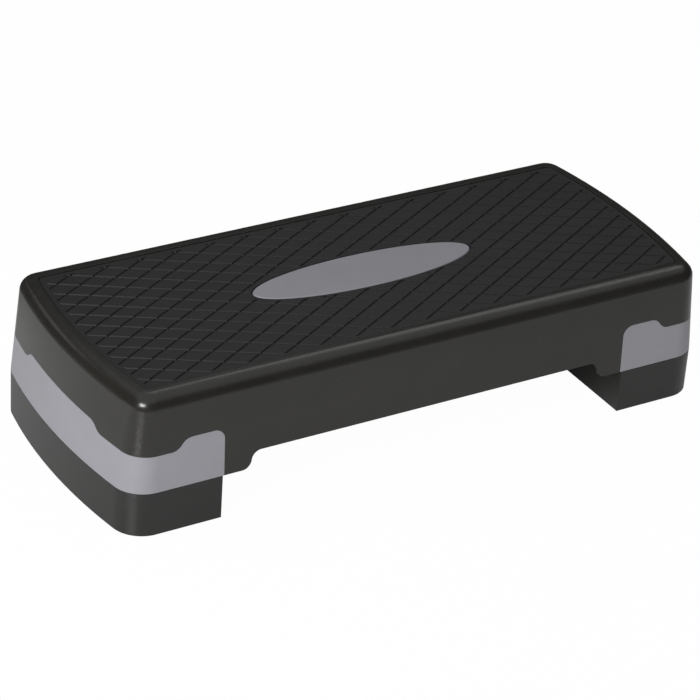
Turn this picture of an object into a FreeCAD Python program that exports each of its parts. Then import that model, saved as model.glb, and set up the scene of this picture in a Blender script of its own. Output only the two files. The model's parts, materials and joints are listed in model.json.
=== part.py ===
import FreeCAD, Part
import math
import os
import re
import Sketcher

# Aerobic step platform: a moulded deck with a non-slip tread, two end bands and two plug-in riser feet.
# Millimetres, +X along the deck, -Y towards the front, +Z up, origin on the floor under the middle.

DIMENSIONS = {
    # deck outline at its lower edge
    "deck_length": 680.0,
    "deck_width": 280.0,
    "end_bow": 15.0,
    "corner_radius": 32.0,
    # how the outline draws in towards the top
    "deck_height": 100.0,
    "end_lean": 11.7,
    "side_lean": 4.3,
    "top_corner_radius": 19.0,
    "rim_radius": 14.5,
    # deck moulding
    "skirt_wall": 3.0,
    "plate_thickness": 3.5,
    # stiffening lattice under the plate
    "rib_thickness": 2.4,
    "rib_depth": 22.0,
    "lattice_end_inset": 100.0,
    "lattice_side_gap": 6.0,
    "rib_row_inset": 50.0,
    "strip_width": 16.0,
    "strip_thickness": 2.0,
    # arch under the middle of each long side
    "arch_foot_inset": 131.0,
    "arch_shoulder_inset": 151.5,
    "arch_rise": 18.4,
    # tread pad and the recess that it lies in
    "end_rim": 15.8,
    "side_rim": 19.0,
    "recess_corner": 6.0,
    "recess_depth": 3.0,
    "tread_drop": 0.8,
    "tread_gap": 0.7,
    "groove_pitch": 19.25,
    "groove_angle": 29.4,
    "groove_width": 2.8,
    "groove_floor": 1.4,
    "groove_depth": 1.1,
    "groove_margin": 5.0,
    "groove_shift_along": 4.2,
    "groove_shift_across": -1.9,
    # oval inlay
    "oval_length": 249.0,
    "oval_width": 62.4,
    "oval_gap": 1.2,
    "inlay_proud": 0.4,
    "inlay_edge": 0.9,
    "inlay_boss_radius": 4.0,
    "inlay_skin": 1.2,
    # end bands
    "band_reach": 112.0,
    "band_skin": 2.3,
    "band_low": 39.0,
    "band_side_high": 51.0,
    "band_end_high": 47.0,
    "band_corner": 11.0,
    "band_wave_start": 78.0,
    "band_wave_end": 56.0,
    "band_lip_width": 14.0,
    "band_lip": 3.0,
    "band_boss_inset": 9.0,
    "band_boss_radius": 4.0,
    "band_boss_height": 18.0,
    "band_screw_near": 40.0,
    "band_screw_far_inset": 45.0,
    "band_screw_arm_inset": 92.0,
    # riser feet
    "foot_reach": 110.5,
    "foot_height": 46.5,
    "foot_wall": 4.0,
    "foot_floor": 4.0,
    "foot_rib": 2.4,
    "foot_rib_drop": 8.0,
    "seam_gap": 0.3,
    # pegs on the feet and their sockets in the deck
    "peg_inner_inset": 84.0,
    "peg_outer_inset": 40.0,
    "peg_side_inset": 50.0,
    "peg_radius": 8.0,
    "peg_wall": 2.6,
    "peg_reach": 38.0,
    "socket_mouth": 12.0,
    "socket_wall": 3.0,
    "socket_clearance": 0.25,
    # rubber pads under the feet
    "pad_proud": 1.2,
    "pad_seat": 1.5,
    "pad_radius": 12.0,
    "pad_stem_radius": 3.4,
    "pad_head_radius": 4.6,
    "pad_head": 3.0,
    "pad_inner_inset": 88.0,
    "pad_outer_inset": 34.0,
    "pad_side_inset": 28.0,
    # rubber glides under the deck, for use without the feet
    "glide_proud": 1.0,
    "glide_seat": 1.0,
    "glide_radius": 5.0,
    "glide_stem_radius": 2.2,
    "glide_head_radius": 3.2,
    "glide_head": 2.2,
    "glide_end_inset": 121.5,
    "glide_side_inset": 10.0,
    "shelf_width": 15.0,
    "shelf_reach": 16.0,
    "shelf_thickness": 3.0,
    # fasteners and fits
    "screw_radius": 1.7,
    "screw_length": 14.0,
    "screw_head_radius": 3.6,
    "screw_head": 2.0,
    "screw_tip_gap": 0.4,
    "inlay_head_radius": 5.6,
    "thread_clearance": 0.06,
    "fit_gap": 0.2,
    "stem_clearance": 0.1,
    "overrun": 5.0,
}

# Which way each side and end lies, and how many ribs and inlay screws there are
SIDES = {"front": -1, "back": 1}
ENDS = {"left": -1, "right": 1}
CROSS_RIBS_EACH_SIDE = 4
RIB_ROWS = (-3, -1, 1, 3)
INLAY_SCREWS = 4

# Places, heights and outlines worked out from the driving dimensions
END = "(deck_length / 2)"
SIDE = "(deck_width / 2)"
BAND_INNER = f"({END} - band_reach)"
FOOT_INNER = f"({END} - foot_reach)"
RIB_PITCH = f"(({END} - lattice_end_inset) / {CROSS_RIBS_EACH_SIDE})"
RIB_ROW = f"(({SIDE} - rib_row_inset) / {max(RIB_ROWS)})"
DECK_BOTTOM = "(pad_proud + foot_height + seam_gap)"
DECK_TOP = f"({DECK_BOTTOM} + deck_height)"
RECESS_FLOOR = f"({DECK_TOP} - recess_depth)"
PLATE_UNDERSIDE = f"({RECESS_FLOOR} - plate_thickness)"
END_RADIUS = "((deck_width ^ 2 / 4 + end_bow ^ 2) / (2 * end_bow))"
TREAD_THICKNESS = "(recess_depth - tread_drop)"
INLAY_THICKNESS = "(recess_depth - tread_drop + inlay_proud)"
SEAT_INSET = "(band_skin + fit_gap)"
SEAT_FLOOR = f"({DECK_BOTTOM} + band_lip + fit_gap)"
FOOT_TOP = "(pad_proud + foot_height)"
TREAD_TOP = f"({DECK_TOP} - tread_drop)"
INLAY_PILOT_TOP = f"({RECESS_FLOOR} + {INLAY_THICKNESS} - inlay_skin)"

# Two heights that differ by less than this share count as one
NEARLY = 1e-7

doc = FreeCAD.newDocument("aerobic_step")
sheet = doc.addObject("Spreadsheet::Sheet", "dims")
for row, (name, number) in enumerate(DIMENSIONS.items(), start=1):
    sheet.set(f"A{row}", name)
    sheet.set(f"B{row}", str(number))
    sheet.setAlias(f"B{row}", name)
doc.recompute()


def formula(text):
    """Turns the dimension names in a text into references to the sheet."""
    return re.sub(r"[a-z_]+", lambda word: f"dims.{word[0]}" if word[0] in DIMENSIONS else word[0], text)


def bind(item, path, text):
    """Binds one property of a document object to the sheet."""
    item.setExpression(path, formula(text))


def size(text):
    """The present value of an expression in the dimensions."""
    return float(sheet.evalExpression(formula(text).replace("dims.", "")))


def slab(name, x, y, z):
    """A box that spans a pair of expressions along each axis."""
    box = doc.addObject("Part::Box", name)
    for side, axis, (low, high) in zip(("Length", "Width", "Height"), "xyz", (x, y, z)):
        bind(box, side, f"({high}) - ({low})")
        bind(box, f"Placement.Base.{axis}", low)
    return box


def post(name, x, y, z, radius):
    """An upright cylinder at x, y that spans a pair of heights."""
    low, high = z
    cylinder = doc.addObject("Part::Cylinder", name)
    bind(cylinder, "Radius", radius)
    bind(cylinder, "Height", f"({high}) - ({low})")
    for axis, place in zip("xyz", (x, y, low)):
        bind(cylinder, f"Placement.Base.{axis}", place)
    return cylinder


def combine(kind, name, items):
    """One boolean over a list of objects."""
    result = doc.addObject(f"Part::{kind}", name)
    result.Shapes = items
    return result


def fuse(name, *items):
    return combine("MultiFuse", name, items)


def common(name, *items):
    return combine("MultiCommon", name, items)


def cut(name, base, tool):
    result = doc.addObject("Part::Cut", name)
    result.Base = base
    result.Tool = tool
    return result


def mirrored(name, source):
    """The same piece at the other end of the deck."""
    copy = doc.addObject("Part::Mirroring", name)
    copy.Source = source
    copy.Normal = FreeCAD.Vector(1, 0, 0)
    return copy


def named(item, label):
    """Marks an object as a finished sub-part."""
    item.Label = label
    finished.append(item)
    return item


def from_code(name, shape):
    """An object for a shape that is worked out here."""
    item = doc.addObject("Part::Feature", name)
    item.Shape = shape
    return item


def bowed_outline(sketch, half_length, half_width, end_radius, corner):
    """A closed outline with straight long sides, bowed ends and round corners, fully constrained."""
    along, across = size(half_length), size(half_width)
    bow, turn = size(end_radius), size(corner)
    bow_centre = along - bow
    corner_y = across - turn
    corner_x = bow_centre + math.sqrt((bow - turn) ** 2 - corner_y ** 2)
    sweep = math.atan2(corner_y, corner_x - bow_centre)
    axis = FreeCAD.Vector(0, 0, 1)

    def arc(x, y, radius, start, end):
        circle = Part.Circle(FreeCAD.Vector(x, y, 0), axis, radius)
        return sketch.addGeometry(Part.ArcOfCircle(circle, start, end))

    def side(x_from, x_to, y):
        line = Part.LineSegment(FreeCAD.Vector(x_from, y, 0), FreeCAD.Vector(x_to, y, 0))
        return sketch.addGeometry(line)

    quarter, half = math.pi / 2, math.pi
    front = side(-corner_x, corner_x, -across)
    front_right = arc(corner_x, -corner_y, turn, -quarter, -sweep)
    right = arc(bow_centre, 0, bow, -sweep, sweep)
    back_right = arc(corner_x, corner_y, turn, sweep, quarter)
    back = side(corner_x, -corner_x, across)
    back_left = arc(-corner_x, corner_y, turn, quarter, half - sweep)
    left = arc(-bow_centre, 0, bow, half - sweep, half + sweep)
    front_left = arc(-corner_x, -corner_y, turn, half + sweep, half + quarter)

    start_point, end_point, centre, origin, x_axis = 1, 2, 3, -1, -1
    loop = [front, front_right, right, back_right, back, back_left, left, front_left]
    corners = [front_right, back_right, back_left, front_left]
    rules = [Sketcher.Constraint("Tangent", piece, end_point, following, start_point)
             for piece, following in zip(loop, loop[1:] + loop[:1])]
    rules += [Sketcher.Constraint("Horizontal", line) for line in (front, back)]
    rules += [Sketcher.Constraint("Equal", corners[0], other) for other in corners[1:]]
    rules += [Sketcher.Constraint("Equal", right, left)]
    rules += [Sketcher.Constraint("PointOnObject", bowed, centre, x_axis) for bowed in (right, left)]
    sketch.addConstraint(rules)
    driven = (
        (Sketcher.Constraint("Radius", front_right, turn), corner),
        (Sketcher.Constraint("Radius", right, bow), end_radius),
        (Sketcher.Constraint("DistanceY", front, start_point, origin, start_point, across), half_width),
        (Sketcher.Constraint("DistanceY", origin, start_point, back, start_point, across), half_width),
        (Sketcher.Constraint("DistanceX", right, centre, origin, start_point, -bow_centre),
         f"{end_radius} - ({half_length})"),
        (Sketcher.Constraint("DistanceX", origin, start_point, left, centre, -bow_centre),
         f"{end_radius} - ({half_length})"),
    )
    for rule, text in driven:
        number = sketch.addConstraint(rule)
        bind(sketch, f"Constraints[{number}]", text)


def loose_sketch(name, height):
    """A sketch parallel to the floor that belongs to no body."""
    sketch = doc.addObject("Sketcher::SketchObject", name)
    bind(sketch, "Placement.Base.z", height)
    return sketch


def wall_sizes(rise, inset):
    """Half length, half width, end radius and corner radius of the deck's wall at a rise above its edge."""
    share = f"(({rise}) / deck_height)"
    return (
        f"{END} - end_lean * {share} - ({inset})",
        f"{SIDE} - side_lean * {share} - ({inset})",
        f"({END_RADIUS} - ({inset}))",
        f"corner_radius - (corner_radius - top_corner_radius) * {share} - ({inset})",
    )


def wall_loft(name, inset, low, high):
    """The solid inside the deck's wall, set in by an inset, between two rises above the deck's edge."""
    sections = []
    for level, rise in (("low", low), ("high", high)):
        sketch = loose_sketch(f"{name}_{level}", f"{DECK_BOTTOM} + ({rise})")
        bowed_outline(sketch, *wall_sizes(rise, inset))
        sections.append(sketch)
    solid = doc.addObject("Part::Loft", name)
    solid.Sections = sections
    solid.Solid = True
    solid.Ruled = True
    return solid


def prism(name, height, length, *outline):
    """A bowed outline drawn up from a height."""
    sketch = loose_sketch(f"{name}_outline", height)
    bowed_outline(sketch, *outline)
    return drawn_up(name, sketch, length)


def drawn_up(name, base, length):
    """A flat outline drawn straight up."""
    solid = doc.addObject("Part::Extrusion", name)
    solid.Base = base
    solid.DirMode = "Custom"
    solid.Dir = FreeCAD.Vector(0, 0, 1)
    solid.Solid = True
    bind(solid, "LengthFwd", length)
    return solid


def oval(name, height, grow):
    """An ellipse of the inlay's size, wider all round by a named gap."""
    ellipse = doc.addObject("Part::Ellipse", name)
    bind(ellipse, "MajorRadius", f"oval_length / 2 + ({grow})")
    bind(ellipse, "MinorRadius", f"oval_width / 2 + ({grow})")
    bind(ellipse, "Placement.Base.z", height)
    return ellipse


def easing(start, end):
    """Two equal arcs that lead from one level to another, level at both ends. Points are (across, up)."""
    run, rise = end[0] - start[0], end[1] - start[1]
    radius = (run ** 2 + rise ** 2) / (4 * abs(rise))
    half_turn = math.asin(abs(run) / (2 * radius)) / 2
    step = math.copysign(radius * math.sin(half_turn), run)
    lift = math.copysign(radius * (1 - math.cos(half_turn)), rise)
    middle = (start[0] + run / 2, start[1] + rise / 2)
    return [(start, (start[0] + step, start[1] + lift), middle),
            (middle, (end[0] - step, end[1] - lift), end)]


def profile_prism(stretches, to_space, direction):
    """Draws a closed profile of lines (two points) and arcs (three points) along a direction."""
    edges = []
    for stretch in stretches:
        points = [to_space(*point) for point in stretch]
        curve = Part.LineSegment(*points) if len(points) == 2 else Part.Arc(*points)
        edges.append(curve.toShape())
    return Part.Face(Part.Wire(edges)).extrude(direction)


def band_zone(name, grow):
    """The space at the +X end that an end band fills, wider all round by an expression."""
    margin, beyond = size(grow), size("overrun")
    bottom = size(DECK_BOTTOM)
    floor = bottom - beyond
    inner, corner = size(BAND_INNER) - margin, size("band_corner")
    low = bottom + size("band_low") + margin
    high = bottom + size("band_side_high") + margin
    end_high = bottom + size("band_end_high") + margin
    outer, side_y = size(END) + beyond, size(SIDE) + beyond
    drop, foot = (size(f"{END} - band_wave_start"), high), (size(f"{END} - band_wave_end"), low)
    lag = corner * (1 - math.cos(math.pi / 4))
    side_profile = [
        ((inner, floor), (inner, high - corner)),
        ((inner, high - corner), (inner + lag, high - lag), (inner + corner, high)),
        ((inner + corner, high), drop),
        *easing(drop, foot),
        (foot, (outer, low)),
        ((outer, low), (outer, floor)),
        ((outer, floor), (inner, floor)),
    ]
    whole_width = FreeCAD.Vector(0, 2 * side_y, 0)
    arms = profile_prism(side_profile, lambda x, z: FreeCAD.Vector(x, -side_y, z), whole_width)
    end_drop, end_foot = size(f"{SIDE} - band_wave_start"), size(f"{SIDE} - band_wave_end")
    end_profile = [
        ((-end_foot, floor), (-end_foot, low)),
        *easing((-end_foot, low), (-end_drop, end_high)),
        ((-end_drop, end_high), (end_drop, end_high)),
        *easing((end_drop, end_high), (end_foot, low)),
        ((end_foot, low), (end_foot, floor)),
        ((end_foot, floor), (-end_foot, floor)),
    ]
    start = size(f"{END} - band_wave_end")
    outwards = FreeCAD.Vector(outer - start, 0, 0)
    end = profile_prism(end_profile, lambda y, z: FreeCAD.Vector(start, y, z), outwards)
    return from_code(name, arms.fuse(end).removeSplitter())


def arch_cut():
    """The notch under the middle of both long skirts, with eased shoulders."""
    bottom, beyond = size(DECK_BOTTOM), size("overrun")
    foot, shoulder = size(f"{END} - arch_foot_inset"), size(f"{END} - arch_shoulder_inset")
    floor, top = bottom - beyond, bottom + size("arch_rise")
    reach = size(SIDE) + beyond
    stretches = [
        ((-foot, floor), (-foot, bottom)),
        *easing((-foot, bottom), (-shoulder, top)),
        ((-shoulder, top), (shoulder, top)),
        *easing((shoulder, top), (foot, bottom)),
        ((foot, bottom), (foot, floor)),
        ((foot, floor), (-foot, floor)),
    ]
    whole_width = FreeCAD.Vector(0, 2 * reach, 0)
    return profile_prism(stretches, lambda x, z: FreeCAD.Vector(x, -reach, z), whole_width)


def band_screw_places():
    """Where the +X band's screws stand: four along the bowed end and one in each arm."""
    bow = size(END_RADIUS)
    inset = size("band_boss_inset")
    bow_centre = size(END) - bow
    places = []
    for reach in (size("band_screw_near"), size(f"{SIDE} - band_screw_far_inset")):
        x = bow_centre + math.sqrt((bow - inset) ** 2 - reach ** 2)
        places += [(x, -reach), (x, reach)]
    arm_x, arm_y = size(f"{END} - band_screw_arm_inset"), size(SIDE) - inset
    return places + [(arm_x, -arm_y), (arm_x, arm_y)]


def upright_group(places, *profile):
    """One turned solid per place. The profile is (radius, height) points from the axis and back to it."""
    points = [FreeCAD.Vector(radius, 0, height) for radius, height in profile]
    face = Part.Face(Part.makePolygon(points + points[:1]))
    solid = face.revolve(FreeCAD.Vector(0, 0, 0), FreeCAD.Vector(0, 0, 1), 360)
    return Part.makeCompound([solid.translated(FreeCAD.Vector(x, y, 0)) for x, y in places])


def post_group(name, places, radius, low, high):
    """An object with one upright cylinder per place, all of a radius and a pair of heights."""
    return from_code(name, upright_group(places, (0, low), (radius, low), (radius, high), (0, high)))


def both_ends(places):
    return places + [(-x, y) for x, y in places]


def inlay_places():
    """Where the inlay's bosses stand: in one row, midway between the lattice's cross ribs."""
    middle = (INLAY_SCREWS - 1) / 2
    return [((number - middle) * size(RIB_PITCH), 0) for number in range(INLAY_SCREWS)]


def peg_places(ends):
    """Where the pegs stand: two along each foot on both sides, as expressions."""
    return [(f"{end} * ({END} - peg_{row}_inset)", f"{side} * ({SIDE} - peg_side_inset)")
            for end in ends for row in ("inner", "outer") for side in SIDES.values()]


def glide_places():
    """Where the deck's own glides stand: at the four ends of the arches, as expressions."""
    return {f"{side}_{end}": (f"{ENDS[end]} * ({END} - glide_end_inset)",
                              f"{SIDES[side]} * ({SIDE} - glide_side_inset)")
            for side in SIDES for end in ENDS}


def deck_form():
    """The deck's outer form: a loft between two outlines with a rounded top edge."""
    body = doc.addObject("PartDesign::Body", "deck_form")
    plane = next(item for item in body.Origin.OriginFeatures if item.Role == "XY_Plane")
    sections = []
    for name, rise in (("deck_crown", "deck_height"), ("deck_edge", "0")):
        sketch = body.newObject("Sketcher::SketchObject", name)
        sketch.AttachmentSupport = [(plane, "")]
        sketch.MapMode = "FlatFace"
        bind(sketch, "AttachmentOffset.Base.z", f"{DECK_BOTTOM} + {rise}")
        bowed_outline(sketch, *wall_sizes(rise, "0"))
        sections.append(sketch)
    loft = body.newObject("PartDesign::AdditiveLoft", "deck_loft")
    loft.Profile = sections[0]
    loft.Sections = sections[1:]
    loft.Ruled = True
    doc.recompute()
    crown = loft.Shape.BoundBox.ZMax
    top_edges = [f"Edge{number}" for number, edge in enumerate(loft.Shape.Edges, start=1)
                 if math.isclose(edge.BoundBox.ZMin, crown, rel_tol=NEARLY)]
    rim = body.newObject("PartDesign::Fillet", "deck_rim")
    rim.Base = (loft, top_edges)
    bind(rim, "Radius", "rim_radius")
    return body


def deck_hollow():
    """The space under the deck, drawn in behind the rim and the bands to keep the wall's thickness."""
    top = "deck_height - recess_depth - plate_thickness"
    middle = wall_loft("middle_hollow", "skirt_wall", "-overrun", "deck_height - rim_radius")
    behind_bands = wall_loft("band_hollow", f"{SEAT_INSET} + skirt_wall", "-overrun", top)
    backing = band_zone("right_backing", f"skirt_wall + {SEAT_INSET}")
    both = fuse("backings", backing, mirrored("left_backing", backing))
    return fuse("deck_hollow", cut("skirt_hollow", middle, both), behind_bands)


def rib_lattice():
    """The stiffening lattice under the plate: crossed ribs and a strip that the inlay's screws hold up."""
    levels = (f"{PLATE_UNDERSIDE} - rib_depth", PLATE_UNDERSIDE)
    half_length = f"({CROSS_RIBS_EACH_SIDE} * {RIB_PITCH} + rib_thickness / 2)"
    half_width = f"({SIDE} - side_lean - skirt_wall - lattice_side_gap)"
    whole_length = (f"-{half_length}", half_length)
    bars = [slab("lattice_strip", whole_length, ("-strip_width / 2", "strip_width / 2"),
                 (f"{PLATE_UNDERSIDE} - strip_thickness", PLATE_UNDERSIDE))]
    for number in range(2 * CROSS_RIBS_EACH_SIDE + 1):
        place = f"{number - CROSS_RIBS_EACH_SIDE} * {RIB_PITCH}"
        span = (f"{place} - rib_thickness / 2", f"{place} + rib_thickness / 2")
        bars.append(slab(f"cross_rib_{number}", span, (f"-{half_width}", half_width), levels))
    for number, row in enumerate(RIB_ROWS):
        span = (f"{row} * {RIB_ROW} - rib_thickness / 2", f"{row} * {RIB_ROW} + rib_thickness / 2")
        bars.append(slab(f"long_rib_{number}", whole_length, span, levels))
    holes = post_group("strip_holes", inlay_places(), size("screw_radius + fit_gap"),
                       size(f"{PLATE_UNDERSIDE} - strip_thickness - overrun"),
                       size(f"{PLATE_UNDERSIDE} + overrun"))
    named(cut("lattice", fuse("lattice_bars", *bars), holes), "rib_lattice")


def deck_fittings():
    """What stands inside the deck: peg sockets, screw bosses and the glides' shelves."""
    socket_levels = (f"{DECK_BOTTOM} + socket_mouth", f"{PLATE_UNDERSIDE} + overrun")
    items = [post(f"socket_{number}", x, y, socket_levels, "peg_radius + socket_clearance + socket_wall")
             for number, (x, y) in enumerate(peg_places(ENDS.values()))]
    items.append(post_group("band_bosses", both_ends(band_screw_places()), size("band_boss_radius"),
                            size(SEAT_FLOOR), size(f"{SEAT_FLOOR} + band_boss_height")))
    shelf_levels = (DECK_BOTTOM, f"{DECK_BOTTOM} + shelf_thickness")
    for place, (x, y) in glide_places().items():
        span_x = (f"{x} - shelf_width / 2", f"{x} + shelf_width / 2")
        span_y = (f"-{SIDE}", f"-{SIDE} + shelf_reach")
        if place.startswith("back"):
            span_y = (f"{SIDE} - shelf_reach", SIDE)
        items.append(slab(f"{place}_shelf", span_x, span_y, shelf_levels))
    return items


def deck_bores():
    """Every hole in the deck: sockets, screw pilots, glide stems and the inlay's bosses."""
    socket_levels = (DECK_BOTTOM, PLATE_UNDERSIDE)
    items = [post(f"socket_bore_{number}", x, y, socket_levels, "peg_radius + socket_clearance")
             for number, (x, y) in enumerate(peg_places(ENDS.values()))]
    below = f"{DECK_BOTTOM} - overrun"
    for place, (x, y) in glide_places().items():
        items.append(post(f"{place}_stem_hole", x, y, (below, f"{DECK_BOTTOM} + shelf_thickness + overrun"),
                          "glide_stem_radius + stem_clearance"))
        items.append(post(f"{place}_seat", x, y, (below, f"{DECK_BOTTOM} + glide_seat"),
                          "glide_radius + stem_clearance"))
    pilot, tip = size("screw_radius + thread_clearance"), f"{DECK_BOTTOM} + screw_length + screw_tip_gap"
    items.append(post_group("band_pilots", both_ends(band_screw_places()), pilot,
                            size(f"{SEAT_FLOOR} - overrun"), size(tip)))
    items.append(post_group("inlay_holes", inlay_places(), size("inlay_boss_radius + fit_gap"),
                            size(f"{PLATE_UNDERSIDE} - overrun"), size(f"{RECESS_FLOOR} + overrun")))
    return items


def recess_sizes(inset):
    """The tread recess's outline at the deck's top, set in by an inset."""
    return (
        f"{END} - end_lean - end_rim - ({inset})",
        f"{SIDE} - side_lean - side_rim - ({inset})",
        f"({END_RADIUS} - end_rim - ({inset}))",
        "recess_corner",
    )


def band_space():
    """What is taken off the deck for a band: its skin's seat and the room for its lip."""
    core = wall_loft("seat_core", SEAT_INSET, "-overrun", "deck_height")
    seat = cut("right_seat", band_zone("right_seat_zone", "fit_gap"), core)
    half_width = f"({SIDE} + overrun)"
    lip = slab("right_lip_space", (f"{BAND_INNER} - fit_gap", f"{END} + overrun"),
               (f"-{half_width}", half_width), (f"{DECK_BOTTOM} - overrun", SEAT_FLOOR))
    right = fuse("right_band_space", seat, lip)
    return [right, mirrored("left_band_space", right)]


def deck_shell():
    """The deck moulding: an open shell with a recessed top, arched skirts, sockets and bosses."""
    inside = fuse("deck_inside", *deck_fittings())
    hollow = cut("deck_open_hollow", deck_hollow(), inside)
    recess = prism("tread_recess", RECESS_FLOOR, "recess_depth + overrun", *recess_sizes("0"))
    shell = cut("deck_blank", deck_form(), hollow)
    away = fuse("deck_cuts", *band_space(), from_code("arch", arch_cut()), recess, *deck_bores())
    named(cut("deck", shell, away), "deck_shell")


def groove_bars(name, turn):
    """A set of parallel bars with tapered sides, one for each groove of a direction."""
    half_top, half_floor = size("groove_width") / 2, size("groove_floor") / 2
    top, depth, above = size(TREAD_TOP), size("groove_depth"), size("overrun")
    half_length, half_width = size("deck_length") / 2, size("deck_width") / 2
    angle = math.radians(turn * size("groove_angle"))
    along = FreeCAD.Vector(math.cos(angle), math.sin(angle), 0)
    across = FreeCAD.Vector(-math.sin(angle), math.cos(angle), 0)
    centre = FreeCAD.Vector(size("groove_shift_along"), size("groove_shift_across"), top)
    section = [(-half_floor, -depth), (half_floor, -depth), (half_top, 0),
               (half_top, above), (-half_top, above), (-half_top, 0)]
    reach = half_length + half_width
    count = math.ceil((half_length * abs(across.x) + half_width * across.y) / size("groove_pitch"))
    bars = []
    for number in range(-count, count + 1):
        start = centre + across * (number * size("groove_pitch")) - along * reach
        points = [start + across * offset + FreeCAD.Vector(0, 0, height) for offset, height in section]
        bars.append(Part.Face(Part.makePolygon(points + points[:1])).extrude(along * (2 * reach)))
    return from_code(name, Part.makeCompound(bars))


def tread_pad():
    """The non-slip pad: crossed grooves inside a plain border, and an oval hole for the inlay."""
    blank = prism("tread_blank", RECESS_FLOOR, TREAD_THICKNESS, *recess_sizes("tread_gap"))
    hole = drawn_up("oval_hole", oval("oval_hole_edge", RECESS_FLOOR, "oval_gap"), "recess_depth + overrun")
    border = drawn_up("oval_border", oval("oval_border_edge", RECESS_FLOOR, "oval_gap + groove_margin / 2"),
                      "recess_depth + overrun")
    field = cut("groove_field", prism("groove_area", RECESS_FLOOR, "recess_depth",
                                      *recess_sizes("tread_gap + groove_margin")), border)
    pad = cut("tread_plate", blank, hole)
    for direction, turn in (("rising", 1), ("falling", -1)):
        grooves = common(f"{direction}_grooves", field, groove_bars(f"{direction}_bars", turn))
        pad = cut(f"tread_{direction}", pad, grooves)
        pad.Refine = False
    named(pad, "tread_pad")


def oval_inlay():
    """The oval plate with a bevelled edge and four screw bosses that pass through the deck's plate."""
    top = f"{RECESS_FLOOR} + {INLAY_THICKNESS}"
    plate = doc.addObject("Part::Loft", "inlay_plate")
    plate.Sections = [oval("inlay_base", RECESS_FLOOR, "0"), oval("inlay_rim", f"{top} - inlay_edge", "0"),
                      oval("inlay_top", top, "-inlay_edge")]
    plate.Solid = True
    plate.Ruled = True
    bosses = post_group("inlay_bosses", inlay_places(), size("inlay_boss_radius"),
                        size(f"{PLATE_UNDERSIDE} + fit_gap"), size(RECESS_FLOOR))
    pilots = post_group("inlay_pilots", inlay_places(), size("screw_radius + thread_clearance"),
                        size(f"{PLATE_UNDERSIDE} - overrun"), size(INLAY_PILOT_TOP))
    named(cut("inlay", fuse("inlay_solid", plate, bosses), pilots), "oval_inlay")
    head, shank = size("inlay_head_radius"), size("screw_radius")
    seat, tip = size(f"{PLATE_UNDERSIDE} - strip_thickness"), size(f"{INLAY_PILOT_TOP} - screw_tip_gap")
    bottom = seat - size("screw_head")
    screws = upright_group(inlay_places(), (0, bottom), (head, bottom), (head, seat), (shank, seat),
                           (shank, tip), (0, tip))
    named(from_code("inlay_screw_set", screws), "inlay_screws")


def end_bands():
    """The two end bands with their countersunk screws: a thin skin with a lip turned in under the deck."""
    outside = wall_loft("band_outside", "0", "0", "deck_height")
    core = wall_loft("band_core", "band_skin", "-overrun", "deck_height + overrun")
    skin = common("band_skin_part", cut("band_ring", outside, core), band_zone("band_area", "0"))
    half_width = f"({SIDE} + overrun)"
    lip_block = slab("band_lip_block", (BAND_INNER, f"{END} + overrun"), (f"-{half_width}", half_width),
                     (DECK_BOTTOM, f"{DECK_BOTTOM} + band_lip"))
    lip_core = wall_loft("band_lip_core", "band_lip_width", "-overrun", "deck_height")
    lip = cut("band_lip_part", common("band_lip_slice", outside, lip_block), lip_core)
    shank, head, depth = size("screw_radius"), size("screw_head_radius"), size("screw_head")
    low, tip = size(DECK_BOTTOM), size(f"{DECK_BOTTOM} + screw_length")
    room, beyond = size("fit_gap"), size("overrun")
    holes = upright_group(
        band_screw_places(), (0, low - beyond), (head + room, low - beyond), (head + room, low),
        (shank + room, low + depth), (shank + room, low + beyond), (0, low + beyond))
    band = cut("band", fuse("band_solid", skin, lip), from_code("band_holes", holes))
    screws = upright_group(band_screw_places(), (0, low), (head, low), (shank, low + depth),
                           (shank, tip), (0, tip))
    screw_set = from_code("band_screw_set", screws)
    named(band, "right_end_band")
    named(mirrored("other_band", band), "left_end_band")
    named(screw_set, "right_band_screws")
    named(mirrored("other_band_screws", screw_set), "left_band_screws")


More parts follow.
